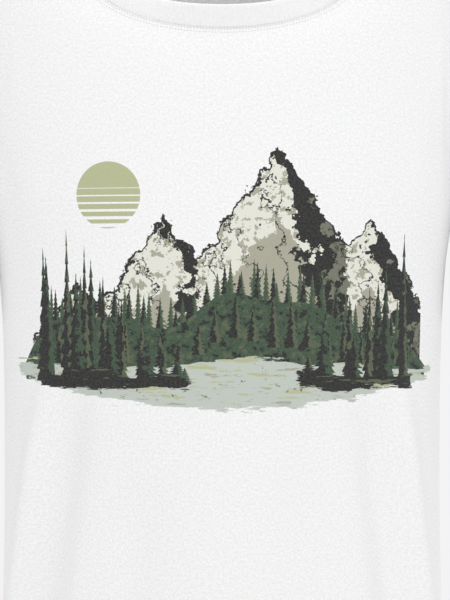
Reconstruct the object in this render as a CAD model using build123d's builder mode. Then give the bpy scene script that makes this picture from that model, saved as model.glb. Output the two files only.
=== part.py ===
from build123d import *
import os

# A short-sleeved crew-neck T-shirt, in the shape it has on a wearer. Millimetres, +Z up, the front faces -Y
# and +X is the wearer's left. The origin is midway between the two high shoulder points, where the collar's
# seam crosses the shoulder seams. Every piece is a thin shell between two forms, one a cloth's thickness
# inside the other, cut to the outline of its pattern.

# Cloth
jersey = 0.8  # one layer of the single jersey
rib = 1.7  # the collar's rib knit, folded double
tape = 0.9  # the cotton tape over the neck and shoulder seams
tape_width = 10.0
hem_depth = 22.0  # the band turned up inside the bottom of the body
cuff_depth = 20.0  # the band turned up inside the end of a sleeve

# Body, with every drop measured down from the high shoulder points
body_length = 715.0
hem_half_width = 178.0
hem_half_depth = 129.0
waist_drop = 480.0
waist_half_width = 172.0
waist_half_depth = 121.0
underarm_drop = 285.0
underarm_half_width = 177.0
underarm_half_depth = 123.0
chest_half_width = 194.0
chest_half_depth = 117.0
upper_chest_half_width = 207.0
upper_chest_half_depth = 99.0
shoulder_drop = 50.0
shoulder_half_width = 207.0
shoulder_half_depth = 72.0

# Neck
neck_half_width = 110.0  # out to the collar's seam, at the shoulder
neck_half_depth = 56.0
neck_centre_y = 8.0  # the neck stands a little behind the middle of the body
neck_top_draw = 22.5  # how far the neck draws in at its sides, half a shoulder drop above the shoulder points
neck_top_draw_deep = 5.0  # and how far at its front and back
front_neck_drop = 85.0
front_neck_round = 48.5  # height of the rounded lower part of the front neckline
back_neck_drop = 20.0
rib_height = 20.0  # seam to free edge of the collar, at the middle of the front and of the back
rib_run = 15.0  # how far inside the seam the free edge lies at the shoulder
rib_rise = 14.0  # and how far above it

# Sleeve on the +X side: a round tube with a ball at its head, as a shoulder has
sleeve_radius = 55.0
sleeve_head_rise = 2.5  # how far the ball stands proud of the end of the shoulder seam
sleeve_head_lean = 18.0  # the seam's end lies so many degrees out from the top of the ball
sleeve_tilt = 15.0  # how far the sleeve hangs out from the vertical, in degrees
sleeve_run = 203.0  # from the ball's centre to the middle of the cuff
cuff_tilt = 28.0  # how far the cuff's opening leans out from level, in degrees

# How far a cutting form runs past what it cuts
spare = 25.0
reach = 600.0


def torso_form(inset):
    """The solid that the body's cloth lies on, made smaller all round by inset."""
    chest_step = (underarm_drop - shoulder_drop) / 3
    # drop, half width, half depth, centre y, and how much of the inset goes downwards there
    hem = (body_length + spare, hem_half_width, hem_half_depth, 2, 0)
    waist = (waist_drop, waist_half_width, waist_half_depth, 2, 0)
    underarm = (underarm_drop, underarm_half_width, underarm_half_depth, 0, 0)
    chest = (underarm_drop - chest_step, chest_half_width, chest_half_depth, 0, 0)
    upper_chest = (shoulder_drop + chest_step, upper_chest_half_width, upper_chest_half_depth, 3, 0.3)
    shoulder = (shoulder_drop, shoulder_half_width, shoulder_half_depth, 6, 0.7)
    neck = (0, neck_half_width, neck_half_depth, neck_centre_y, 0.8)
    neck_top_half_width = neck_half_width - neck_top_draw
    neck_top_half_depth = neck_half_depth - neck_top_draw_deep
    neck_top = (-shoulder_drop / 2, neck_top_half_width, neck_top_half_depth, neck_centre_y, 0.5)
    with BuildPart() as form:
        for sections in (
            (hem, waist),
            (waist, underarm),
            (underarm, chest, upper_chest, shoulder),
            (shoulder, neck),
            (neck, neck_top),
        ):
            for drop, half_width, half_depth, centre_y, lean in sections:
                with BuildSketch(Plane.XY.offset(-drop - lean * inset)):
                    with Locations((0, centre_y)):
                        Ellipse(half_width - inset, half_depth - inset)
            loft()
    return form.part


down = Vector(0, 0, -1)
shoulder_end = Vector(shoulder_half_width, 0, -shoulder_drop)
head_to_end = Vector(0, 0, sleeve_radius - sleeve_head_rise).rotate(Axis.Y, sleeve_head_lean)
head_plane = Plane(shoulder_end - head_to_end, z_dir=down.rotate(Axis.Y, -sleeve_tilt))
cuff_plane = Plane(head_plane.offset(sleeve_run).origin, z_dir=down.rotate(Axis.Y, -cuff_tilt))


def sleeve_form(inset):
    """The solid that the +X sleeve's cloth lies on, made smaller all round by inset."""
    with BuildPart() as form:
        with Locations(head_plane):
            Sphere(sleeve_radius - inset)
            Cylinder(sleeve_radius - inset, 2 * sleeve_run, align=(Align.CENTER, Align.CENTER, Align.MIN))
        split(bisect_by=cuff_plane, keep=Keep.BOTTOM)
    return form.part


def neckline(half_width, drop, round_height, run):
    """A block through the neck, round along its lower edge, extruded by run from the shoulder seams."""
    with BuildPart() as block:
        with BuildSketch(Plane.XZ):
            with Locations((0, round_height - drop)):
                Ellipse(half_width, round_height)
                Rectangle(2 * half_width, reach, align=(Align.CENTER, Align.MIN))
        extrude(amount=run)
    return block.part


pieces = {}
torso = torso_form(0)
torso_lining = torso_form(jersey)
sleeve = sleeve_form(0)
sleeve_lining = sleeve_form(jersey)
both_sleeves = sleeve + sleeve.mirror(Plane.YZ)
front, back = reach, -reach  # an extrusion from Plane.XZ runs towards -Y, the front, when positive
seams = {
    front: neckline(neck_half_width, front_neck_drop, front_neck_round, front),
    back: neckline(neck_half_width, back_neck_drop, back_neck_drop, back),
}

# The turned-up bands: a second layer of jersey inside the hem and inside the cuff
with BuildPart() as hem_band:
    add(torso_lining)
    add(torso_form(2 * jersey), mode=Mode.SUBTRACT)
    split(bisect_by=Plane.XY.offset(hem_depth - body_length), keep=Keep.BOTTOM)
with BuildPart() as cuff_band:
    add(sleeve_lining)
    add(sleeve_form(2 * jersey), mode=Mode.SUBTRACT)
    split(bisect_by=cuff_plane.offset(-cuff_depth), keep=Keep.TOP)

# The two body panels meet at the side seams and the shoulder seams, and are cut out at the neck and armholes
for name, run in (("front_body", front), ("back_body", back)):
    with BuildPart() as panel:
        add(torso)
        add(torso_lining, mode=Mode.SUBTRACT)
        add(hem_band.part)
        with BuildSketch(Plane.XZ):
            with Locations((0, -body_length)):
                Rectangle(reach, reach + body_length, align=(Align.CENTER, Align.MIN))
        extrude(amount=run, mode=Mode.INTERSECT)
        add(seams[run], mode=Mode.SUBTRACT)
        add(both_sleeves, mode=Mode.SUBTRACT)
    pieces[name] = panel.part

# A sleeve is one tube of jersey, sewn to the body all round the armhole and open at the cuff
with BuildPart() as left_sleeve:
    add(sleeve)
    add(sleeve_lining, mode=Mode.SUBTRACT)
    add(cuff_band.part)
    add(torso_lining, mode=Mode.SUBTRACT)
pieces["left_sleeve"] = left_sleeve.part
pieces["right_sleeve"] = left_sleeve.part.mirror(Plane.YZ)

# The collar is a closed band of rib on the neck's slope, from its seam up to its folded edge
edge_half_width = neck_half_width - rib_run
with BuildPart() as collar:
    add(torso)
    add(torso_form(rib), mode=Mode.SUBTRACT)
    add(seams[front] + seams[back], mode=Mode.INTERSECT)
    add(
        neckline(edge_half_width, front_neck_drop - rib_height, front_neck_round - rib_height, front),
        mode=Mode.SUBTRACT,
    )
    add(neckline(edge_half_width, back_neck_drop - rib_height, rib_rise, back), mode=Mode.SUBTRACT)
pieces["collar"] = collar.part

# One tape lies inside the body over the seams, from armhole to armhole round the back of the neck
tape_drop = back_neck_drop + tape_width
with BuildPart() as neck_tape:
    add(neckline(neck_half_width + tape_width, tape_drop, tape_drop, back))
    with BuildSketch(Plane.XY.offset(-2 * shoulder_drop)):
        Rectangle(2 * shoulder_half_width, tape_width)
    extrude(amount=2 * shoulder_drop)
    add(torso_lining, mode=Mode.INTERSECT)
    add(torso_form(jersey + tape), mode=Mode.SUBTRACT)
    add(seams[front] + seams[back], mode=Mode.SUBTRACT)
    add(both_sleeves, mode=Mode.SUBTRACT)
pieces["neck_tape"] = neck_tape.part

os.makedirs("parts", exist_ok=True)
for name, piece in pieces.items():
    piece.label = name
    export_step(piece, f"parts/{name}.step")
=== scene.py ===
import math

import bmesh
import bpy
from mathutils import Matrix, Vector
from mathutils.bvhtree import BVHTree


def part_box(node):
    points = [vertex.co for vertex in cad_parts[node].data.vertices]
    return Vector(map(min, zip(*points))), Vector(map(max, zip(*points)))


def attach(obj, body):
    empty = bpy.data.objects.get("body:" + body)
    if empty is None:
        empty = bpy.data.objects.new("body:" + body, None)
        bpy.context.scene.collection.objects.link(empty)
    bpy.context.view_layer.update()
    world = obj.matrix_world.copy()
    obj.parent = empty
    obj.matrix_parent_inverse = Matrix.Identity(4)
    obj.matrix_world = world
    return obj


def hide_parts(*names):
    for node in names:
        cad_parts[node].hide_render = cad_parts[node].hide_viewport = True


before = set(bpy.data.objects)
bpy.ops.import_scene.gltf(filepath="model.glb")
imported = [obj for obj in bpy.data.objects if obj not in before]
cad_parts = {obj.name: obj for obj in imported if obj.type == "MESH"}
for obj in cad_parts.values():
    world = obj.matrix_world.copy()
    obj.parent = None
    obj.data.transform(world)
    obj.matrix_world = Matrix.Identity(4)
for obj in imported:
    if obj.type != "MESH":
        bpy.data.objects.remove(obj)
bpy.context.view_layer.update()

# ---------------------------------------------------------------------------------------------------------------
# Shape of the worn shirt: the sections that its cloth follows from the hem up to the neck. Everything sewn below
# takes its place from here. Metres, with drops measured down from the high shoulder points.
body_length = -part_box("front_body")[0].z
neck_half_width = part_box("collar")[1].x
front_neck_drop = -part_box("collar")[0].z - 0.004
boxiness = 2.25  # 2 is an ellipse, and more is a flatter chest with rounder sides

sections = (
    # drop, half width, half depth in front, half depth behind, centre y
    (-0.030, 0.086, 0.050, 0.050, 0.008),
    (0.000, 0.110, 0.056, 0.056, 0.008),
    (0.026, 0.161, 0.064, 0.066, 0.007),
    (0.050, 0.202, 0.074, 0.078, 0.006),
    (0.085, 0.212, 0.088, 0.092, 0.004),
    (0.125, 0.210, 0.101, 0.100, 0.003),
    (0.175, 0.202, 0.112, 0.108, 0.001),
    (0.225, 0.197, 0.119, 0.113, 0.000),
    (0.275, 0.188, 0.121, 0.116, 0.000),
    (0.360, 0.181, 0.120, 0.115, 0.001),
    (0.480, 0.178, 0.119, 0.116, 0.002),
    (0.600, 0.180, 0.122, 0.122, 0.002),
    (0.760, 0.182, 0.126, 0.128, 0.002),
)


def section_at(drop):
    """Half width, front and back half depth and centre y at a drop, on a smooth curve through the sections."""
    last = len(sections) - 3
    i = max(1, min(last, sum(row[0] <= drop for row in sections) - 1))
    before, low, high, after = (Vector(sections[i + k]) for k in (-1, 0, 1, 2))
    step = high[0] - low[0]
    t = (drop - low[0]) / step
    slope_low = (high - before) * (step / (high[0] - before[0]))
    slope_high = (after - low) * (step / (after[0] - low[0]))
    point = low * (2 * t**3 - 3 * t**2 + 1) + high * (3 * t**2 - 2 * t**3)
    point += slope_low * (t**3 - 2 * t**2 + t) + slope_high * (t**3 - t**2)
    return point[1:]


def on_body(angle, drop, side, inset=0.0):
    """The point of the body's cloth at an angle from the middle of the front (side -1) or of the back (side 1)."""
    half_width, front_depth, back_depth, centre_y = section_at(drop)
    half_depth = front_depth if side < 0 else back_depth
    power = 2 / boxiness
    across = math.copysign(abs(math.sin(angle)) ** power, angle)
    along = abs(math.cos(angle)) ** power
    return Vector(((half_width - inset) * across, centre_y + side * (half_depth - inset) * along, -drop))


def angle_at(across, drop):
    """The angle of the point that lies this far from the middle, seen from in front."""
    return math.asin(min(1.0, across / section_at(drop)[0]) ** (boxiness / 2))


def evenly(line, count, side):
    """The line of (angle, drop) pairs again, as count equal steps along the cloth."""
    points = [on_body(angle, drop, side) for angle, drop in line]
    run = [0.0]
    for a, b in zip(points, points[1:]):
        run.append(run[-1] + (b - a).length)
    result, i = [], 0
    for step in range(count + 1):
        at = run[-1] * step / count
        while i < len(run) - 2 and run[i + 1] < at:
            i += 1
        t = (at - run[i]) / (run[i + 1] - run[i])
        result.append(tuple(p + (q - p) * t for p, q in zip(line[i], line[i + 1])))
    return result


# ---------------------------------------------------------------------------------------------------------------
# Body panels: two pieces of single jersey, cut to a pattern and joined at the side seams and shoulder seams. Each
# is a grid of cloth from the hem up to the neckline, whose edge follows the side, the armhole and the shoulder.
columns = 44  # from the middle to the side
side_rows, armhole_rows, shoulder_rows = 66, 28, 15
underarm_drop = 0.232
shoulder_point_drop = 0.048
armhole_across = 0.197  # how far from the middle the armhole seam runs at its narrowest
grain_at_underarm = 0.262  # drop at which the row that starts at the underarm crosses the middle
samples = 60
rows = side_rows + armhole_rows + shoulder_rows


def neckline_at(share, drop, round_height):
    """(angle, drop) on the neckline, from the middle at share 0 to the high shoulder point at share 1."""
    straight = drop - round_height
    if share < 0.75 or straight <= 0:
        turn = share / (0.75 if straight > 0 else 1.0) * math.pi / 2
        across = neck_half_width * math.sin(turn)
        low = straight + round_height * math.cos(turn)
    else:
        across = neck_half_width
        low = straight * (1 - share) / 0.25
    return angle_at(across, low), low


def armhole_at(share):
    """(angle, drop) on the armhole, from the underarm at share 0 to the shoulder point at share 1."""
    drop = underarm_drop + (shoulder_point_drop - underarm_drop) * share
    half_width = section_at(drop)[0]
    low_curve = min(1.0, share / 0.35)
    hollow = math.sin(low_curve * math.pi / 2) * (1 - max(0.0, (share - 0.35) / 0.65) ** 12)
    inner = half_width + (armhole_across - half_width) * hollow
    return angle_at(inner, drop), drop


def panel_outline(side):
    """The four edges of half a panel, as lists of (angle, drop): hem, neckline, middle and outer edge."""
    neck_drop, neck_round = (front_neck_drop, 0.0485) if side < 0 else (0.020, 0.020)
    hem = [(math.pi / 2 * i / columns, body_length) for i in range(columns + 1)]
    neck = evenly([neckline_at(i / samples, neck_drop, neck_round) for i in range(samples + 1)], columns, side)
    quarter = math.pi / 2
    seam = evenly([(quarter, body_length), (quarter, underarm_drop)], side_rows, side)
    armhole = evenly([armhole_at(i / samples) for i in range(samples + 1)], armhole_rows, side)
    shoulder_line = [(quarter, shoulder_point_drop * (1 - i / samples)) for i in range(samples + 1)]
    edge = seam + armhole[1:] + evenly(shoulder_line, shoulder_rows, side)[1:]
    low = [(0.0, body_length + (grain_at_underarm - body_length) * i / side_rows) for i in range(side_rows)]
    upper_rows = rows - side_rows
    high = [(0.0, grain_at_underarm + (neck_drop - grain_at_underarm) * i / upper_rows)
            for i in range(upper_rows + 1)]
    return hem, neck, low + high, edge


def panel_map(side):
    """The (angle, drop) of every crossing of the panel's grid, spread smoothly between its four edges."""
    hem, neck, middle, edge = panel_outline(side)
    table = {}
    for i in range(-columns, columns + 1):
        s = abs(i) / columns
        for j in range(rows + 1):
            t = j / rows
            angle = (1 - t) * hem[abs(i)][0] + t * neck[abs(i)][0] + s**3 * (edge[j][0] - math.pi / 2)
            drop = t * neck[abs(i)][1] + (1 - s) * middle[j][1] + s * edge[j][1]
            drop -= t * ((1 - s) * neck[0][1] + s * neck[-1][1])
            table[i, j] = (math.copysign(angle, i), drop)
    return table


def arc_across(angle, drop, side):
    """Length of cloth between the middle of the panel and a point, level with it."""
    steps = 24
    points = [on_body(angle * k / steps, drop, side) for k in range(steps + 1)]
    return sum((b - a).length for a, b in zip(points, points[1:])) * (1 if angle > 0 else -1)


FRONT, BACK, LEFT, RIGHT = range(4)
shirt = bmesh.new()
flat = shirt.loops.layers.uv.new("flat")  # the pattern lying flat, in metres
knot = {}  # the panels' vertices by panel, column and row
laid = {}  # how far each lies from the middle along the cloth, and its drop
for side, tag in ((-1, FRONT), (1, BACK)):
    table = panel_map(side)
    made = bmesh.ops.create_grid(shirt, x_segments=2 * columns, y_segments=rows, size=0.5)
    pattern = {}
    for vert in made["verts"]:
        i, j = round(vert.co.x * 2 * columns), round((vert.co.y + 0.5) * rows)
        knot[tag, i, j] = vert
        angle, drop = table[i, j]
        vert.co = on_body(angle, drop, side)
        laid[tag, i, j] = (arc_across(angle, drop, side), drop)
        slope = max(0.0, shoulder_point_drop - drop) * 1.2
        pattern[vert] = (arc_across(angle, drop, side), slope - drop)
    for face in {f for vert in pattern for f in vert.link_faces}:
        face.material_index = tag
        for loop in face.loops:
            loop[flat].uv = pattern[loop.vert]

sewn_rows = [j for j in range(rows + 1) if j <= side_rows or j >= side_rows + armhole_rows]
sewn = [(i, j) for i in (-columns, columns) for j in sewn_rows]
bmesh.ops.weld_verts(shirt, targetmap={knot[BACK, i, j]: knot[FRONT, i, j] for i, j in sewn})
knot.update({(BACK, i, j): knot[FRONT, i, j] for i, j in sewn})


# ---------------------------------------------------------------------------------------------------------------
# Sleeves: a tube of the same jersey each, seamed along the underarm and set into the armhole all round.
sleeve_rings = 26
sleeve_tilt = math.radians(16)
cuff_middle = (0.237, 0.002, -0.300)
cuff_half_across, cuff_half_depth = 0.047, 0.061
cuff_lean = math.radians(26)  # how far the opening leans out from level
sleeve_circumference, sleeve_length = 0.350, 0.200


def extrude_ring(mesh, ring, places, tag, closed=True):
    """Extrudes a ring or a row of vertices by one row of faces to the given places, and returns the new one."""
    following = ring[1:] + ring[:1] if closed else ring[1:]
    edges = [mesh.edges.get((a, b)) for a, b in zip(ring, following)]
    made = bmesh.ops.extrude_edge_only(mesh, edges=edges)["geom"]
    new = {item for item in made if isinstance(item, bmesh.types.BMVert)}
    after = [next(e.other_vert(v) for e in v.link_edges if e.other_vert(v) in new) for v in ring]
    for vert, place in zip(after, places):
        vert.co = place
    for item in made:
        if isinstance(item, bmesh.types.BMFace):
            item.material_index = tag
    return after


def sleeve_places(ring, hand):
    """The places of each ring of a sleeve, on smooth curves from the armhole's vertices to the cuff."""
    across = Vector((hand * math.cos(cuff_lean), 0, math.sin(cuff_lean)))
    middle = Vector((hand * cuff_middle[0], *cuff_middle[1:]))
    axis = Vector((hand * math.sin(sleeve_tilt), 0, -math.cos(sleeve_tilt)))
    low, high = (pick(v.co.z for v in ring) for pick in (min, max))
    result = [[] for _ in range(sleeve_rings)]
    for i, vert in enumerate(ring):
        turn = 2 * math.pi * i / len(ring)  # 0 at the underarm, and round by the front
        start = vert.co.copy()
        end = middle - across * (cuff_half_across * math.cos(turn))
        end.y -= cuff_half_depth * math.sin(turn)
        rise = (start.z - low) / (high - low)
        leave = Vector((hand * (0.35 + 0.55 * rise), 8.3 * start.y, -1.0 + 0.62 * rise)).normalized()
        reach = (end - start).length
        for k, row in enumerate(result):
            t = (k + 1) / sleeve_rings
            point = start * (2 * t**3 - 3 * t**2 + 1) + end * (3 * t**2 - 2 * t**3)
            row.append(point + leave * reach * (t**3 - 2 * t**2 + t) + axis * reach * (t**3 - t**2))
    return result


for hand, tag in ((1, LEFT), (-1, RIGHT)):
    top_row = side_rows + armhole_rows
    ring = [knot[FRONT, hand * columns, j] for j in range(side_rows, top_row)]
    ring += [knot[BACK, hand * columns, j] for j in range(top_row, side_rows, -1)]
    places = sleeve_places(ring, hand)
    knot.update({(tag, i, 0): vert for i, vert in enumerate(ring)})
    for k in range(sleeve_rings):
        ring = extrude_ring(shirt, ring, places[k], tag)
        knot.update({(tag, i, k + 1): vert for i, vert in enumerate(ring)})
    around = len(ring)
    index = {knot[tag, i, k]: (i, k) for i in range(around) for k in range(sleeve_rings + 1)}
    for face in shirt.faces:
        if face.material_index == tag:
            last = any(index[v][0] == around - 1 for v in face.verts)
            for loop in face.loops:
                i, k = index[loop.vert]
                i = around if last and i == 0 else i
                loop[flat].uv = (i / around * sleeve_circumference, -k / sleeve_rings * sleeve_length)

for tag in (FRONT, BACK, LEFT, RIGHT):
    faces = [f for f in shirt.faces if f.material_index == tag]
    axis_x = {LEFT: cuff_middle[0], RIGHT: -cuff_middle[0]}.get(tag, 0.0)
    bmesh.ops.recalc_face_normals(shirt, faces=faces)
    shirt.normal_update()
    outward = sum(f.normal.dot(f.calc_center_median() - Vector((axis_x, 0, f.calc_center_median().z))) for f in faces)
    if outward < 0:
        bmesh.ops.reverse_faces(shirt, faces=faces)


# ---------------------------------------------------------------------------------------------------------------
# The drape: the sewn shirt is hung on a dress form and settles under its own weight, held round the neck.
form_sides, arm_sides = 64, 40
form_sections = (
    # drop, and how far the form stays inside the cloth, across and deep
    (0.780, 0.020, 0.022), (0.700, 0.016, 0.018), (0.620, 0.014, 0.016), (0.540, 0.020, 0.022),
    (0.460, 0.030, 0.030), (0.400, 0.026, 0.028), (0.340, 0.017, 0.018), (0.280, 0.010, 0.008),
    (0.230, 0.010, 0.006), (0.190, 0.013, 0.005), (0.150, 0.014, 0.005), (0.115, 0.014, 0.005),
    (0.085, 0.012, 0.005), (0.062, 0.009, 0.005), (0.045, 0.008, 0.005), (0.030, 0.007, 0.005),
    (0.015, 0.006, 0.005), (0.000, 0.006, 0.005), (-0.030, 0.006, 0.005),
)
arm_sections = (
    # drop, middle across, half width, half depth
    (0.060, 0.174, 0.004, 0.006), (0.063, 0.175, 0.015, 0.018), (0.070, 0.179, 0.025, 0.028),
    (0.082, 0.184, 0.031, 0.036), (0.100, 0.192, 0.034, 0.040), (0.130, 0.201, 0.034, 0.043),
    (0.180, 0.215, 0.032, 0.046), (0.230, 0.228, 0.030, 0.047), (0.280, 0.239, 0.030, 0.047),
    (0.340, 0.251, 0.030, 0.046), (0.420, 0.266, 0.030, 0.044),
)
drape_frames = 30


def form_ring(drop, across, deep):
    """One ring of the torso of the dress form."""
    half_width, front_depth, back_depth, centre_y = section_at(drop)
    ring = []
    for k in range(form_sides):
        turn = 2 * math.pi * k / form_sides
        side = -1 if math.cos(turn) > 0 else 1
        half_depth = front_depth if side < 0 else back_depth
        point = on_body(math.asin(math.sin(turn)), drop, side)
        point.x *= (half_width - across) / half_width
        point.y = centre_y + (point.y - centre_y) * (half_depth - deep) / half_depth
        ring.append(point)
    return ring


def arm_ring(drop, across, half_width, half_depth, hand):
    """One ring of an arm of the dress form."""
    turns = [2 * math.pi * k / arm_sides for k in range(arm_sides)]
    return [Vector((hand * (across + half_width * math.cos(t)), 0.003 + half_depth * math.sin(t), -drop)) for t in turns]


def tube(mesh, rings):
    """A closed tube through rings of points, capped at both ends."""
    ring = bmesh.ops.create_circle(mesh, segments=len(rings[0]), radius=1, cap_ends=True)["verts"]
    for places in rings[:1]:
        for vert, place in zip(ring, places):
            vert.co = place
    for places in rings[1:]:
        ring = extrude_ring(mesh, ring, places, 0)
    bmesh.ops.contextual_create(mesh, geom=ring)


def linked(name, bm):
    """A new object in the scene from a bmesh."""
    mesh = bpy.data.meshes.new(name)
    bm.to_mesh(mesh)
    piece = bpy.data.objects.new(name, mesh)
    bpy.context.scene.collection.objects.link(piece)
    return piece


def hang():
    """Drapes the shirt over the dress form and moves its vertices to where they come to rest."""
    form = bmesh.new()
    tube(form, [form_ring(*row) for row in form_sections])
    for hand in (1, -1):
        tube(form, [arm_ring(*row, hand) for row in arm_sections])
    bmesh.ops.recalc_face_normals(form, faces=form.faces)
    dress_form, cloth = linked("dress_form", form), linked("shirt", shirt)
    dress_form.modifiers.new("body", "COLLISION")
    dress_form.collision.thickness_outer = 0.002
    dress_form.collision.cloth_friction = 5
    hold = cloth.vertex_groups.new(name="hold")
    seam = [v.co for v in neck_ring]
    for vert in cloth.data.vertices:
        away = min((vert.co - p).length for p in seam) if vert.co.z > -0.16 else 1.0
        hold.add([vert.index], min(1.0, max(0.0, 1.3 - away / 0.05)), "REPLACE")
    drape = cloth.modifiers.new("drape", "CLOTH")
    drape.settings.quality = 6
    drape.settings.mass = 0.05
    drape.settings.tension_stiffness = 60
    drape.settings.compression_stiffness = 40
    drape.settings.shear_stiffness = 15
    drape.settings.bending_stiffness = 0.3
    drape.settings.tension_damping = 2
    drape.settings.compression_damping = 2
    drape.settings.shear_damping = 2
    drape.settings.vertex_group_mass = "hold"
    drape.collision_settings.collision_quality = 3
    drape.collision_settings.distance_min = 0.002
    drape.point_cache.frame_end = drape_frames
    for number in range(1, drape_frames + 1):
        bpy.context.scene.frame_set(number)
    settled = cloth.evaluated_get(bpy.context.evaluated_depsgraph_get()).to_mesh()
    for vert, point in zip(shirt.verts, settled.vertices):
        vert.co = point.co
    for gone in (dress_form, cloth):
        bpy.data.meshes.remove(gone.data)
    bpy.context.scene.frame_set(1)


neck_ring = [knot[FRONT, i, rows] for i in range(-columns, columns + 1)]
neck_ring += [knot[BACK, i, rows] for i in range(columns - 1, -columns, -1)]
shirt.verts.index_update()
worn = {vert: vert.co.copy() for vert in shirt.verts}
hang()
# A body fills the chest and the sleeves further than the form does
for (tag, i, k), vert in knot.items():
    if tag in (LEFT, RIGHT) and k > 0:
        vert.co = vert.co.lerp(worn.pop(vert), 0.7)
for vert, place in worn.items():
    low = min(1.0, max(0.0, (0.42 + place.z) / 0.14))
    vert.co = vert.co.lerp(place, 0.5 + 0.1 * low)
tubes = [vert for (tag, i, k), vert in knot.items() if tag in (LEFT, RIGHT) and 0 < k < sleeve_rings]
for _ in range(5):
    bmesh.ops.smooth_vert(shirt, verts=tubes, factor=0.5, use_axis_x=True, use_axis_y=True, use_axis_z=True)
upper = [v for v in shirt.verts if v.co.z > -0.20 and v not in set(neck_ring) and abs(v.co.x) < 0.17]
for _ in range(4):
    bmesh.ops.smooth_vert(shirt, verts=upper, factor=0.5, use_axis_x=True, use_axis_y=True, use_axis_z=True)
shirt.normal_update()

# Folds start below the chest, fan out towards the sides and deepen down to the hem
folds = (
    # panel, along the cloth from the middle at the top and at the hem, drop of the top, height (minus is a
    # valley), width
    (FRONT, -0.146, -0.222, 0.330, 0.0105, 0.011),
    (FRONT, -0.114, -0.188, 0.330, -0.0125, 0.017),
    (FRONT, -0.060, -0.095, 0.400, -0.0070, 0.028),
    (FRONT, 0.147, 0.214, 0.325, 0.0095, 0.010),
    (FRONT, 0.113, 0.180, 0.330, -0.0115, 0.017),
    (FRONT, 0.060, 0.078, 0.400, -0.0070, 0.028),
    (BACK, -0.120, -0.190, 0.280, -0.0080, 0.020),
    (BACK, -0.070, -0.105, 0.360, 0.0060, 0.022),
    (BACK, -0.015, -0.020, 0.300, -0.0080, 0.024),
    (BACK, 0.055, 0.080, 0.380, 0.0060, 0.022),
    (BACK, 0.110, 0.170, 0.290, -0.0080, 0.019),
)
fold_grow = 3.0  # how soon a fold reaches its full height
pushed = {}
for panel, top, bottom, start_drop, height, width in folds:
    for (tag, i, j), (across, drop) in laid.items():
        if tag == panel and drop > start_drop:
            t = (drop - start_drop) / (body_length - start_drop)
            away = (across - top - (bottom - top) * t) / width
            grow = min(1.0, t * fold_grow)
            vert = knot[tag, i, j]
            pushed[vert] = pushed.get(vert, 0.0) + height * grow**2 * (3 - 2 * grow) * math.exp(-away**2)
for vert, height in pushed.items():
    vert.co += vert.normal * height

shirt.normal_update()

# A seam draws its cloth in a little, at the sides, along the shoulders and round the armholes
seam_draw = 0.0008
seam_verts = {knot[FRONT, i, j] for i, j in sewn}
seam_verts |= {knot[tag, i, 0] for tag in (LEFT, RIGHT) for i in range(2 * armhole_rows)}
for vert in seam_verts - set(neck_ring):
    vert.co -= vert.normal * seam_draw
shirt.normal_update()


# ---------------------------------------------------------------------------------------------------------------
# Jersey: white cotton single jersey of about 180 g per square metre, a plain knit whose ribs run up the body.
# Its loops, its fuzz and the slight unevenness of washed cotton follow the pattern, as they do on cut cloth.
jersey_white = (0.90, 0.90, 0.902)
wale, course = 0.0011, 0.0008  # the knit's pitch across and along


class Finish:
    """A material and short ways to add nodes to it."""

    def __init__(self, name):
        self.material = bpy.data.materials.new(name)
        self.material.use_nodes = True
        self.tree = self.material.node_tree
        self.shader = self.tree.nodes["Principled BSDF"]
        self.shader.inputs["Roughness"].default_value = 0.9
        self.shader.inputs["Specular IOR Level"].default_value = 0.2
        self.shader.inputs["Sheen Weight"].default_value = 0.1
        self.shader.inputs["Sheen Roughness"].default_value = 0.5

    def add(self, kind, *inputs, **settings):
        """A node of one kind, with its live inputs in order, each a socket, a value or None for its default."""
        node = self.tree.nodes.new(kind)
        for name, value in settings.items():
            setattr(node, name, value)
        for socket, value in zip([s for s in node.inputs if s.enabled], inputs):
            if isinstance(value, bpy.types.NodeSocket):
                self.tree.links.new(value, socket)
            elif value is not None:
                socket.default_value = value
        return next(s for s in node.outputs if s.enabled)

    def math(self, operation, *inputs):
        return self.add("ShaderNodeMath", *inputs, operation=operation)

    def noise(self, vector, scale, detail=2.0, roughness=0.5):
        return self.add("ShaderNodeTexNoise", vector, scale, detail, roughness)

    def parts(self, vector):
        """The three parts of a vector."""
        node = self.tree.nodes.new("ShaderNodeSeparateXYZ")
        self.tree.links.new(vector, node.inputs[0])
        return tuple(node.outputs)

    def mix(self, factor, a, b):
        """Colour a, or b where the factor is 1."""
        node = self.tree.nodes.new("ShaderNodeMix")
        node.data_type = "RGBA"
        for name, value in (("Factor_Float", factor), ("A_Color", a), ("B_Color", b)):
            socket = next(s for s in node.inputs if s.identifier == name)
            if isinstance(value, bpy.types.NodeSocket):
                self.tree.links.new(value, socket)
            else:
                socket.default_value = value if name == "Factor_Float" else (*value[:3], 1.0)
        return next(s for s in node.outputs if s.identifier == "Result_Color")

    def bump(self, height, strength, distance, under=None):
        """A normal roughened by a height, over another normal."""
        node = self.tree.nodes.new("ShaderNodeBump")
        node.inputs["Strength"].default_value = strength
        node.inputs["Distance"].default_value = distance
        self.tree.links.new(height, node.inputs["Height"])
        if under is not None:
            self.tree.links.new(under, node.inputs["Normal"])
        return node.outputs[0]

    def link(self, socket, name):
        self.tree.links.new(socket, self.shader.inputs[name])


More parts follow.
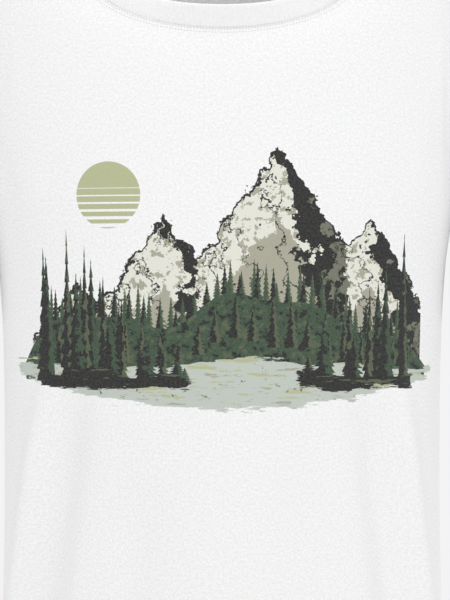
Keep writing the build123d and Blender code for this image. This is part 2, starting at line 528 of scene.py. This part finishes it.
def knit(finish, base, ink=None):
    """Gives a finish the loops and fuzz of jersey, with ink(across, along, cloth, grain) laid over its colour."""
    pattern = finish.add("ShaderNodeUVMap", uv_map="flat")
    across, along, _ = finish.parts(pattern)
    rib = finish.math("PINGPONG", finish.math("DIVIDE", across, wale), 0.5)
    loop = finish.math("ADD", finish.math("DIVIDE", along, course), rib)
    loop = finish.math("SINE", finish.math("MULTIPLY", loop, 2 * math.pi))
    fuzz = finish.noise(pattern, 1500.0, 3.0, 0.6)
    slub = finish.noise(pattern, 520.0, 2.0, 0.6)
    creases = finish.noise(pattern, 22.0, 3.0, 0.55)
    height = finish.math("MULTIPLY_ADD", loop, 0.25, finish.math("MULTIPLY", rib, 1.4))
    height = finish.math("MULTIPLY_ADD", fuzz, 0.9, height)
    height = finish.math("MULTIPLY_ADD", slub, 1.1, height)
    fine = finish.bump(height, 0.4, 0.0002)
    finish.link(finish.bump(creases, 0.30, 0.003, fine), "Normal")
    shade = finish.math("MULTIPLY_ADD", finish.math("SUBTRACT", slub, 0.5), 2.6, 0.5)
    colour = finish.mix(shade, [c * 0.90 for c in base], [c * 1.04 for c in base])
    if ink is not None:
        colour = ink(across, along, colour, slub)
    finish.link(colour, "Base Color")


jersey = Finish("white_jersey")
knit(jersey, jersey_white)


# ---------------------------------------------------------------------------------------------------------------
# Printed front: the same jersey, screen printed across the chest in hard-edged flat inks with a wooded mountain
# valley, pines, peaks and a sun, over a pale brushed ground whose lower edge is torn.
def ink(red, green, blue):
    """An ink's colour, given in steps of 0 to 255 on a screen, as linear light."""
    return [((c / 255 + 0.055) / 1.055) ** 2.4 if c > 10 else c / 255 / 12.92 for c in (red, green, blue)]


print_bottom, print_middle = -0.394, 0.005
near_black, deep_green, olive = ink(13, 14, 10), ink(50, 74, 52), ink(80, 90, 64)
stone, light_stone, chalk = ink(112, 112, 98), ink(166, 164, 146), ink(224, 224, 213)
wash, straw = ink(188, 196, 188), ink(178, 182, 142)

printed = Finish("printed_jersey")
m = printed.math


def all_of(*masks):
    """1 where every mask is 1."""
    result = masks[0]
    for mask in masks[1:]:
        result = m("MULTIPLY", result, mask)
    return result


def above(a, b):
    return m("GREATER_THAN", a, b)


def wave(x, lift, *waves):
    """A rolling line: a height plus waves of (height, turns per metre, start)."""
    for size, turns, start in waves:
        x_turn = m("MULTIPLY_ADD", x, turns * 2 * math.pi, start)
        lift = m("MULTIPLY_ADD", m("SINE", x_turn), size, lift)
    return lift


def pines(colour, x, y, ragged, pitch, shift, base, tall, slim, dark, light):
    """A row of pines a pitch apart: base(x) and tall(x) give each one's foot and height from its own place."""
    at = m("MULTIPLY_ADD", x, 1 / pitch, shift)
    number = m("FLOOR", at)
    first = printed.add("ShaderNodeTexWhiteNoise", number, noise_dimensions="1D")
    second = printed.add("ShaderNodeTexWhiteNoise", m("ADD", number, 37.7), noise_dimensions="1D")
    middle = m("MULTIPLY_ADD", second, 0.26, 0.37)
    place = m("MULTIPLY", m("SUBTRACT", m("ADD", number, middle), shift), pitch)
    off = m("SUBTRACT", m("FRACT", at), middle)
    height = m("MULTIPLY", tall(place), m("MULTIPLY_ADD", first, 0.55, 0.55))
    up = m("DIVIDE", m("SUBTRACT", y, base(place)), m("MAXIMUM", height, 0.0001))
    tier = m("FRACT", m("MULTIPLY_ADD", up, 8.0, second))
    crown = m("MULTIPLY", m("SUBTRACT", 1.02, up), m("MULTIPLY_ADD", tier, -0.50, 1.0))
    crown = m("MULTIPLY", m("MULTIPLY", crown, slim), m("MULTIPLY_ADD", ragged, 1.1, 0.45))
    crown = m("MINIMUM", crown, 0.36)
    inside = all_of(above(crown, m("ABSOLUTE", off)), above(1.0, up), above(up, -0.06), above(height, 0.004),
                    above(0.162, m("ABSOLUTE", place)))
    bright = above(m("MULTIPLY_ADD", m("SUBTRACT", ragged, 0.5), 0.9, off), m("MULTIPLY", crown, 0.22))
    colour = printed.mix(inside, colour, dark)
    return printed.mix(all_of(inside, bright), colour, light)


def valley(across, along, cloth, grain):
    """The printed valley over the cloth's colour, from the back of the scene to its front."""
    x, y = m("SUBTRACT", across, print_middle), m("SUBTRACT", along, print_bottom)
    place = printed.add("ShaderNodeCombineXYZ", x, y, 0.0)
    rough = printed.noise(place, 42.0, 5.0, 0.6)
    facet = printed.noise(place, 120.0, 4.0, 0.7)
    brush = printed.noise(printed.add("ShaderNodeCombineXYZ", x, m("MULTIPLY", y, 7.0), 0.0), 26.0, 5.0, 0.65)
    aside = m("ABSOLUTE", x)

    # The sun, barred towards its foot
    sun_x, sun_y = m("ADD", x, 0.098), m("SUBTRACT", y, 0.176)
    sun = above(0.027, m("SQRT", m("ADD", m("MULTIPLY", sun_x, sun_x), m("MULTIPLY", sun_y, sun_y))))
    bars = above(m("FRACT", m("MULTIPLY", y, 160.0)), m("MULTIPLY_ADD", y, -14.0, 2.62))
    colour = printed.mix(all_of(sun, bars), cloth, straw)

    # The peaks, each pale on its left and dark on its right, with scree and cracks
    crag = m("MULTIPLY", m("SUBTRACT", rough, 0.5), 0.060)
    line, shaded = m("ADD", 0.0, 0.0), m("ADD", 0.0, 0.0)
    for peak, height, steep in ((0.040, 0.212, 1.35), (-0.052, 0.156, 1.25), (0.118, 0.158, 1.30), (-0.125, 0.105, 0.95)):
        mine = m("SUBTRACT", height, m("MULTIPLY", m("ABSOLUTE", m("SUBTRACT", x, peak)), steep))
        edge = m("MULTIPLY_ADD", m("SUBTRACT", rough, 0.5), 0.11, m("SUBTRACT", x, peak + 0.003))
        edge = m("MULTIPLY_ADD", m("SUBTRACT", y, height), 0.22, edge)
        front = above(m("MULTIPLY_ADD", m("SUBTRACT", facet, 0.5), 0.07, mine), line)
        shaded = m("ADD", m("MULTIPLY", shaded, m("SUBTRACT", 1.0, front)), m("MULTIPLY", edge, front))
        line = m("MAXIMUM", line, mine)
    line = m("ADD", line, crag)
    rock = all_of(above(line, y), above(y, 0.03), above(0.172, aside))
    depth = m("SUBTRACT", line, y)
    colour = printed.mix(rock, colour, light_stone)
    colour = printed.mix(all_of(rock, above(0.055, depth), above(facet, 0.45)), colour, chalk)
    dark_side = all_of(rock, above(shaded, 0.0))
    colour = printed.mix(dark_side, colour, stone)
    colour = printed.mix(all_of(dark_side, above(facet, 0.53)), colour, olive)
    colour = printed.mix(all_of(dark_side, above(m("MULTIPLY_ADD", facet, 0.03, 0.012), shaded)), colour, near_black)
    gully = m("FRACT", m("ADD", m("MULTIPLY", x, 34.0), m("MULTIPLY_ADD", rough, 4.0, m("MULTIPLY", y, 12.0))))
    cracks = all_of(rock, above(m("MULTIPLY_ADD", facet, 0.30, -0.06), gully))
    colour = printed.mix(cracks, colour, near_black)
    colour = printed.mix(all_of(rock, above(m("MULTIPLY_ADD", facet, 0.006, 0.0005), depth)), colour, near_black)

    # Wooded hills at the foot of the peaks
    def hill(at):
        ends = m("MULTIPLY", m("MAXIMUM", m("SUBTRACT", m("ABSOLUTE", at), 0.120), 0.0), 0.85)
        return m("SUBTRACT", wave(at, 0.083, (0.013, 5.5, 0.8), (0.005, 13.0, 2.0)), ends)

    colour = pines(colour, x, y, facet, 0.0095, 0.3, hill, lambda at: 0.030, 0.42, deep_green, olive)
    colour = pines(colour, x, y, facet, 0.0130, 0.7, lambda at: m("SUBTRACT", hill(at), 0.006),
                   lambda at: 0.034, 0.42, near_black, deep_green)
    wood = all_of(above(hill(x), y), above(y, 0.026), above(m("MULTIPLY_ADD", rough, 0.02, 0.172), aside))
    colour = printed.mix(wood, colour, deep_green)
    colour = printed.mix(all_of(wood, above(facet, 0.56)), colour, near_black)
    colour = printed.mix(all_of(wood, above(0.43, facet)), colour, olive)
    colour = pines(colour, x, y, facet, 0.0150, 0.1, lambda at: m("SUBTRACT", hill(at), 0.034),
                   lambda at: 0.040, 0.42, near_black, olive)

    # The valley floor: a pale wash with dry strokes in it, torn along its lower edge
    tear = m("MULTIPLY", m("SUBTRACT", brush, 0.5), 0.030)
    shore = m("ADD", wave(x, 0.040, (0.004, 4.0, 1.0)), tear)
    foot = m("ADD", m("MULTIPLY_ADD", m("MULTIPLY", aside, aside), 0.75, 0.004), tear)
    ground = all_of(above(shore, y), above(y, foot), above(m("MULTIPLY_ADD", brush, 0.03, 0.174), aside))
    colour = printed.mix(ground, colour, wash)
    colour = printed.mix(all_of(ground, above(brush, 0.57)), colour, straw)
    colour = printed.mix(all_of(ground, above(0.40, brush)), colour, light_stone)
    colour = printed.mix(all_of(ground, above(facet, 0.62), above(brush, 0.5)), colour, olive)

    # The near pines, tall at both sides, on a bank of dark earth
    def stand(at):
        from_side = m("SUBTRACT", m("ABSOLUTE", m("SUBTRACT", at, 0.012)), 0.045)
        tall = m("MINIMUM", m("MULTIPLY_ADD", from_side, 1.10, 0.016), 0.112)
        return m("MULTIPLY", tall, all_of(above(from_side, 0.0), above(0.166, m("ABSOLUTE", at))))

    def bank(at):
        return wave(at, 0.030, (0.003, 6.0, 0.0), (0.002, 17.0, 1.0))

    for pitch, shift, dark, light in (
        (0.0240, 0.15, near_black, deep_green), (0.0170, 0.55, near_black, olive), (0.0290, 0.80, near_black, deep_green),
    ):
        colour = pines(colour, x, y, facet, pitch, shift, bank, stand, 0.36, dark, light)
    from_middle = m("SUBTRACT", m("ABSOLUTE", m("SUBTRACT", x, 0.012)), 0.030)
    earth = all_of(above(m("ADD", bank(x), m("MULTIPLY", m("SUBTRACT", brush, 0.4), 0.02)), y),
                   above(y, m("MULTIPLY_ADD", brush, 0.024, 0.008)), above(from_middle, m("MULTIPLY", brush, 0.03)),
                   above(m("MULTIPLY_ADD", brush, 0.02, 0.150), aside))
    colour = printed.mix(earth, colour, near_black)
    colour = printed.mix(all_of(earth, above(brush, 0.58)), colour, olive)
    return printed.mix(m("MULTIPLY", grain, 0.08), colour, cloth)


knit(printed, jersey_white, valley)


# ---------------------------------------------------------------------------------------------------------------
# Body and sleeves: each panel and each tube is a piece of jersey, and its raw edge is turned up inside for a hem.
# The front panel has the print.
cloth_thick = 0.0008
fold_in = 0.0021  # from the outer layer's face to the turned-up layer's
turned_rows = 3  # rows of faces in a hem, about 20 mm


def cut_piece(name, tag, edge, closed):
    """One piece of the shirt with its hem: edge(i, k) is the vertex k rows up from the hem."""
    piece = shirt.copy()
    piece.verts.ensure_lookup_table()
    piece.verts.index_update()
    lines = [[piece.verts[vert.index] for vert in row] for row in edge]
    bmesh.ops.delete(piece, geom=[f for f in piece.faces if f.material_index != tag], context="FACES")
    piece.normal_update()
    turned = [[vert.co - vert.normal * fold_in for vert in row] for row in lines]
    uv = piece.loops.layers.uv["flat"]
    ring = lines[0]
    for k in range(turned_rows + 1):
        before = set(piece.faces)
        new = extrude_ring(piece, ring, turned[k], tag, closed)
        like = {}
        for row in (lines[max(0, k - 1)], lines[k]):
            for vert in row:
                like[vert] = vert.link_loops[0][uv].uv.copy()
        source = dict(zip(new, lines[k]))
        source.update(zip(ring, lines[max(0, k - 1)]))
        for face in set(piece.faces) - before:
            for loop in face.loops:
                loop[uv].uv = like[source[loop.vert]]
        ring = new
    for face in piece.faces:
        face.smooth = True
        face.material_index = 0
    return linked(name, piece)


panels = {}
for name, tag, closed, material in (
    ("front_panel", FRONT, False, printed), ("back_panel", BACK, False, jersey),
    ("left_sleeve_tube", LEFT, True, jersey), ("right_sleeve_tube", RIGHT, True, jersey),
):
    if closed:
        count = sum(key[0] == tag and key[2] == 0 for key in knot)
        edge = [[knot[tag, i, sleeve_rings - k] for i in range(count)] for k in range(turned_rows + 1)]
    else:
        edge = [[knot[tag, i, k] for i in range(-columns, columns + 1)] for k in range(turned_rows + 1)]
    piece = cut_piece(name, tag, edge, closed)
    panels[tag] = piece
    piece.data.materials.append(material.material)
    smooth = piece.modifiers.new("smooth", "SUBSURF")
    smooth.levels = smooth.render_levels = 1
    thick = piece.modifiers.new("thickness", "SOLIDIFY")
    thick.thickness = cloth_thick
    thick.offset = -1
    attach(piece, "root")
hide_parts("front_body")
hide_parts("back_body")
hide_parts("left_sleeve")
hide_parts("right_sleeve")


# ---------------------------------------------------------------------------------------------------------------
# Collar: one band of cotton rib, folded double along its free edge and sewn to the neckline all round, where it
# draws the seam in. Its ribs run from the seam over the fold.
rib_pitch, rib_height, rib_deep = 0.0019, 0.0203, 0.00022
rib_columns = 6  # columns of faces in one rib
rib_smoothing = 14
neck_centre = Vector((0, 0.008, 0))
band = (
    # up from the seam, out from the body's face, and how much of the rib's depth shows (millimetres)
    (-1.2, -1.3, 0.0), (0.1, -0.9, 0.3), (0.7, -0.1, 0.8), (1.6, 0.25, 1.0), (3.0, 0.35, 1.0), (6.5, 0.4, 1.0),
    (10.0, 0.4, 1.0), (13.5, 0.4, 1.0), (17.0, 0.35, 1.0), (18.8, 0.15, 1.0), (19.8, -0.25, 0.9), (20.3, -0.75, 0.8),
    (20.0, -1.25, 0.8), (18.9, -1.6, 0.7), (16.0, -1.7, 0.6), (10.0, -1.7, 0.6), (4.0, -1.7, 0.6), (0.0, -1.8, 0.3),
    (-1.4, -1.9, 0.0),
)


def round_neck(count):
    """Count places round the neckline, each with its direction along it, up the collar and outwards."""
    seam = [v.co.copy() for v in neck_ring]
    seam.append(seam[0])
    run = [0.0]
    for a, b in zip(seam, seam[1:]):
        run.append(run[-1] + (b - a).length)
    places, k = [], 0
    for n in range(count):
        at = run[-1] * n / count
        while run[k + 1] < at:
            k += 1
        places.append(seam[k].lerp(seam[k + 1], (at - run[k]) / (run[k + 1] - run[k])))
    step = max(1, count // 400)
    for _ in range(rib_smoothing):
        places = [(places[n - step] + places[n] * 2 + places[(n + step) % count]) / 4 for n in range(count)]
    result = []
    for n, point in enumerate(places):
        along = (places[(n + step) % count] - places[n - step]).normalized()
        away = point - neck_centre
        turn = math.atan2(abs(away.x), -away.y)
        lean = math.radians(27.5 + 2 * math.cos(turn) - 17.5 * math.cos(2 * turn))
        inward = -Vector((away.x, away.y, 0)).normalized()
        up = Vector((0, 0, math.cos(lean))) + inward * math.sin(lean)
        up = (up - along * up.dot(along)).normalized()
        outward = along.cross(up)
        result.append((point, along, up, outward if outward.dot(inward) < 0 else -outward))
    return result


neck_length = sum((a.co - b.co).length for a, b in zip(neck_ring, neck_ring[1:] + neck_ring[:1]))
ribs = round(neck_length / rib_pitch)
around_neck = round_neck(ribs * rib_columns)
collar_mesh = bmesh.new()
collar_uv = collar_mesh.loops.layers.uv.new("flat")
rings, ring, spot = [], None, {}
for height, out, share in band:
    places = []
    for n, (point, along, up, outward) in enumerate(around_neck):
        depth = share * rib_deep * math.cos(2 * math.pi * n / rib_columns)
        side = 1 if out > -0.75 else -1
        places.append(point + up * (height / 1000) + outward * (out / 1000 + side * depth))
    if ring is None:
        ring = bmesh.ops.create_circle(collar_mesh, segments=len(places), radius=1)["verts"]
        for vert, place in zip(ring, places):
            vert.co = place
    else:
        ring = extrude_ring(collar_mesh, ring, places, 0)
    rings.append(ring)
edges = [collar_mesh.edges.get((r[n - 1], r[n])) for r in (rings[0], rings[-1]) for n in range(len(r))]
bmesh.ops.bridge_loops(collar_mesh, edges=edges)
bmesh.ops.recalc_face_normals(collar_mesh, faces=collar_mesh.faces)
for row, ring in enumerate(rings):
    spot.update({vert: (n * rib_pitch / rib_columns, row * 0.002) for n, vert in enumerate(ring)})
for face in collar_mesh.faces:
    face.smooth = True
    for loop in face.loops:
        loop[collar_uv].uv = spot[loop.vert]
collar = linked("ribbed_collar", collar_mesh)

rib_knit = Finish("white_rib_knit")
pattern = rib_knit.add("ShaderNodeTexCoord")
position = rib_knit.tree.nodes["Texture Coordinate"].outputs["Object"]
loops = rib_knit.noise(position, 1500.0, 3.0, 0.6)
slub = rib_knit.noise(position, 420.0, 3.0, 0.6)
height = rib_knit.math("MULTIPLY_ADD", slub, 1.2, loops)
rib_knit.link(rib_knit.bump(height, 0.4, 0.0002), "Normal")
shade = rib_knit.math("MULTIPLY_ADD", rib_knit.math("SUBTRACT", slub, 0.5), 1.3, 0.5)
rib_knit.link(rib_knit.mix(shade, [c * 0.87 for c in jersey_white], [c * 0.97 for c in jersey_white]), "Base Color")
collar.data.materials.append(rib_knit.material)
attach(collar, "root")
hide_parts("collar")


# ---------------------------------------------------------------------------------------------------------------
# Neck tape: a narrow woven cotton tape inside the shirt. It covers the collar's seam round the back of the neck,
# and a strip of it strengthens each shoulder seam from the neck to the armhole.
tape_width, tape_thick = 0.010, 0.0007
under_cloth = 0.0012  # from the jersey's outer face to the tape's
across_tape = 4
inside = BVHTree.FromBMesh(shirt)
tape_mesh = bmesh.new()


def lay_tape(lines):
    """Lays a strip of tape inside the cloth along lines of points, each line running across the tape."""
    made = bmesh.ops.create_grid(tape_mesh, x_segments=across_tape, y_segments=len(lines) - 1, size=0.5)
    for vert in made["verts"]:
        i = round((vert.co.x + 0.5) * across_tape)
        j = round((vert.co.y + 0.5) * (len(lines) - 1))
        spot, normal, _, _ = inside.find_nearest(lines[j][i])
        vert.co = spot - normal * under_cloth
    faces = list({f for v in made["verts"] for f in v.link_faces})
    bmesh.ops.recalc_face_normals(tape_mesh, faces=faces)
    tape_mesh.normal_update()
    middle = faces[len(faces) // 2]
    _, normal, _, _ = inside.find_nearest(middle.calc_center_median())
    if middle.normal.dot(normal) < 0:
        bmesh.ops.reverse_faces(tape_mesh, faces=faces)


lines = []
for i in range(-columns, columns + 1):
    top, below = knot[BACK, i, rows].co, knot[BACK, i, rows - 2].co
    down = (below - top).normalized()
    lines.append([top + down * (0.0004 + tape_width * n / across_tape) for n in range(across_tape + 1)])
lay_tape(lines)
for hand in (-1, 1):
    lines = []
    for j in range(side_rows + armhole_rows, rows + 1):
        middle = knot[FRONT, hand * columns, j].co
        ahead = (knot[FRONT, hand * (columns - 1), j].co - middle).normalized()
        behind = (knot[BACK, hand * (columns - 1), j].co - middle).normalized()
        forward = (ahead - behind).normalized()
        lines.append([middle + forward * tape_width * (n / across_tape - 0.5) for n in range(across_tape + 1)])
    lay_tape(lines)
for face in tape_mesh.faces:
    face.smooth = True
tape_strip = linked("neck_and_shoulder_tape", tape_mesh)
woven = tape_strip.modifiers.new("thickness", "SOLIDIFY")
woven.thickness, woven.offset = tape_thick, -1

tape_cotton = Finish("white_cotton_tape")
tape_cotton.add("ShaderNodeTexCoord")
position = tape_cotton.tree.nodes["Texture Coordinate"].outputs["Object"]
x, y, z = tape_cotton.parts(position)
twill = tape_cotton.math("ADD", tape_cotton.math("MULTIPLY", x, 1100.0), tape_cotton.math("MULTIPLY", z, 900.0))
twill = tape_cotton.math("PINGPONG", tape_cotton.math("MULTIPLY_ADD", y, 300.0, twill), 0.5)
yarn = tape_cotton.noise(position, 900.0, 3.0, 0.6)
tape_cotton.link(tape_cotton.bump(tape_cotton.math("ADD", twill, yarn), 0.5, 0.0002), "Normal")
tape_cotton.link(tape_cotton.mix(yarn, (0.80, 0.80, 0.79), (0.88, 0.88, 0.87)), "Base Color")
tape_strip.data.materials.append(tape_cotton.material)
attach(tape_strip, "root")
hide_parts("neck_tape")


# ---------------------------------------------------------------------------------------------------------------
# Stitching: twin rows of white cotton thread, sewn by a two-needle machine through the body just below the
# collar's seam, round the bottom hem and round both cuffs. Each stitch is a small bead pulled into the knit, and
# between stitches a grey dot is painted shade standing for the shadow in the needle's hole.
stitch_pitch, stitch_length, stitch_wide, stitch_thick = 0.0025, 0.0021, 0.00055, 0.00040
bpy.context.view_layer.update()
surfaces = [BVHTree.FromObject(panels[tag], bpy.context.evaluated_depsgraph_get()) for tag in (FRONT, BACK, LEFT, RIGHT)]

thread = Finish("white_thread")
thread.add("ShaderNodeTexCoord")
position = thread.tree.nodes["Texture Coordinate"].outputs["Object"]
fibre = thread.noise(position, 2600.0, 2.0, 0.5)
thread.link(thread.bump(fibre, 0.4, 0.0001), "Normal")
thread.link(thread.mix(fibre, (0.84, 0.84, 0.84), (0.93, 0.93, 0.93)), "Base Color")


# Grey dots between the stitches: painted shade, standing for the shadow inside each needle hole
shade_dot_length, shade_dot_wide, shade_dot_thick = 0.0006, 0.0009, 0.00012
painted_hole_shade = Finish("painted_hole_shade")
painted_hole_shade.add("ShaderNodeTexCoord")
position = painted_hole_shade.tree.nodes["Texture Coordinate"].outputs["Object"]
fibre = painted_hole_shade.noise(position, 2600.0, 2.0, 0.5)
painted_hole_shade.link(painted_hole_shade.mix(fibre, (0.34, 0.34, 0.34), (0.46, 0.46, 0.46)), "Base Color")


short_run, sewn_run = bmesh.new(), bpy.data.meshes.new("sewn_run")


def sew(mesh, line):
    """Sews stitches end to end along a closed line of (point, outward) pairs, with a grey dot of painted shade
    between them where the needle's hole is.
    """
    line = line + line[:1]
    run = [0.0]
    for (a, _), (b, _) in zip(line, line[1:]):
        run.append(run[-1] + (b - a).length)
    count, k = 2 * round(run[-1] / stitch_pitch), 0
    for n in range(count):
        at = run[-1] * (n + 0.5) / count
        while run[k + 1] < at:
            k += 1
        share = (at - run[k]) / (run[k + 1] - run[k])
        outward = line[k][1].lerp(line[k + 1][1], share)
        point = line[k][0].lerp(line[k + 1][0], share) + outward * 0.0015
        found = [near for near in (tree.find_nearest(point, 0.006) for tree in surfaces) if near[0] is not None]
        if not found:
            continue
        spot, normal, _, _ = min(found, key=lambda near: near[3])
        along = line[k + 1][0] - line[k][0]
        along = (along - normal * along.dot(normal)).normalized()
        side = normal.cross(along)
        # Every second bead is a flat grey dot of painted shade at a needle hole
        size = (shade_dot_length, shade_dot_wide, shade_dot_thick) if n % 2 else (stitch_length, stitch_wide, stitch_thick)
        turn = Matrix([axis * length for axis, length in zip((along, side, normal), size)]).transposed().to_4x4()
        turn = Matrix.Translation(spot + normal * (0.0 if n % 2 else 0.00008)) @ turn
        made = bmesh.ops.create_icosphere(short_run, subdivisions=1, radius=0.5, matrix=turn)
        for face in {f for v in made["verts"] for f in v.link_faces}:
            face.smooth = True
            face.material_index = n % 2
        if n % 50 == 49 or n == count - 1:
            short_run.to_mesh(sewn_run)
            short_run.clear()
            mesh.from_mesh(sewn_run)


def stitched(name, *lines):
    mesh = bmesh.new()
    for line in lines:
        sew(mesh, line)
    piece = linked(name, mesh)
    piece.data.materials.append(thread.material)
    piece.data.materials.append(painted_hole_shade.material)
    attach(piece, "root")


def below_neck(distance):
    return [(point - up * distance, outward) for point, _, up, outward in round_neck(600)]


def above_edge(edge, height):
    """A line around a hem: edge(n) gives the outermost vertices and the ones a row further up."""
    return [(low.co + (high.co - low.co).normalized() * height, low.normal.copy()) for low, high in edge]


stitched("neck_stitching", below_neck(0.0012), below_neck(0.0040))
hem = [(knot[FRONT, i, 0], knot[FRONT, i, 1]) for i in range(-columns, columns)]
hem += [(knot[BACK, i, 0], knot[BACK, i, 1]) for i in range(columns, -columns, -1)]
stitched("hem_stitching", above_edge(hem, 0.0135), above_edge(hem, 0.0185))
for name, tag in (("left_cuff_stitching", LEFT), ("right_cuff_stitching", RIGHT)):
    cuff = [(knot[tag, i, sleeve_rings], knot[tag, i, sleeve_rings - 1]) for i in range(2 * armhole_rows)]
    stitched(name, above_edge(cuff, 0.0125), above_edge(cuff, 0.0175))


# ---------------------------------------------------------------------------------------------------------------
# Studio: a level camera in front of the chest, soft lamps, and a white sweep that keeps the shirt's shadow.
camera_data = bpy.data.cameras.new("camera")
camera_data.sensor_width, camera_data.sensor_fit = 36, "AUTO"
camera_data.lens = 36 * 2.0 / 0.480  # the 600 pixels of height take in 480 mm, 2 m away
camera = bpy.data.objects.new("camera", camera_data)
camera.location = (0.0024, -2.12, -0.303)
camera.rotation_euler = (math.pi / 2, 0, 0)
bpy.context.scene.collection.objects.link(camera)
bpy.context.scene.camera = camera

lamps = (
    # name, place, what it points at, width, height, watts
    ("key_lamp", (-1.0, -2.6, 0.9), (0, 0, -0.35), 1.6, 1.2, 10),
    ("top_lamp", (0.0, -1.1, 1.6), (0, 0.05, -0.05), 1.0, 0.8, 2.5),
    ("neck_lamp", (0.0, -0.03, 0.10), (0, 0.07, -0.06), 0.12, 0.05, 0.18),
    ("fill_lamp", (1.6, -2.0, 0.0), (0, 0, -0.35), 1.4, 1.4, 6),
    ("back_lamp", (0.7, 2.5, 0.9), (0, 0, -0.35), 1.8, 1.4, 22),
)
for name, place, target, width, height, watts in lamps:
    light = bpy.data.lights.new(name, "AREA")
    light.shape, light.size, light.size_y, light.energy = "RECTANGLE", width, height, watts
    lamp = bpy.data.objects.new(name, light)
    lamp.location = place
    lamp.visible_camera = False
    lamp.rotation_euler = (Vector(target) - Vector(place)).to_track_quat("-Z", "Y").to_euler()
    bpy.context.scene.collection.objects.link(lamp)

ambient, seen_white = 0.855, 0.90
world = bpy.data.worlds.new("studio")
bpy.context.scene.world = world
world.use_nodes = True
tree = world.node_tree
rays = tree.nodes.new("ShaderNodeLightPath")
level = tree.nodes.new("ShaderNodeMix")
level.inputs[2].default_value, level.inputs[3].default_value = ambient, seen_white
tree.links.new(rays.outputs["Is Camera Ray"], level.inputs[0])
tree.links.new(level.outputs[0], tree.nodes["Background"].inputs["Strength"])
tree.nodes["Background"].inputs["Color"].default_value = (1, 1, 1, 1)

floor_mesh = bmesh.new()
floor_level = Matrix.Translation((0, 0, -body_length - 0.08))
bmesh.ops.create_grid(floor_mesh, x_segments=1, y_segments=1, size=8, matrix=floor_level)
floor = linked("floor", floor_mesh)
pale = Finish("pale_floor")
pale.add("ShaderNodeTexCoord")
position = pale.tree.nodes["Texture Coordinate"].outputs["Object"]
pale.add("ShaderNodeLightPath")
camera_ray = pale.tree.nodes["Light Path"].outputs["Is Camera Ray"]
x, y, _ = pale.parts(position)
reach = pale.math("SQRT", pale.math("ADD", pale.math("MULTIPLY", x, x), pale.math("MULTIPLY", y, y)))
far = pale.add("ShaderNodeMapRange", reach, 0.5, 1.8, 0.0, 1.0)
pale.shader.inputs["Base Color"].default_value = (0.86, 0.86, 0.86, 1)
pale.shader.inputs["Sheen Weight"].default_value = 0.0
bright = pale.tree.nodes.new("ShaderNodeEmission")
bright.inputs["Strength"].default_value = seen_white
blend = pale.tree.nodes.new("ShaderNodeMixShader")
pale.tree.links.new(pale.math("MULTIPLY", far, camera_ray), blend.inputs[0])
pale.tree.links.new(pale.shader.outputs[0], blend.inputs[1])
pale.tree.links.new(bright.outputs[0], blend.inputs[2])
pale.tree.links.new(blend.outputs[0], pale.tree.nodes["Material Output"].inputs["Surface"])
floor.data.materials.append(pale.material)

bpy.context.scene.view_settings.view_transform = "Standard"
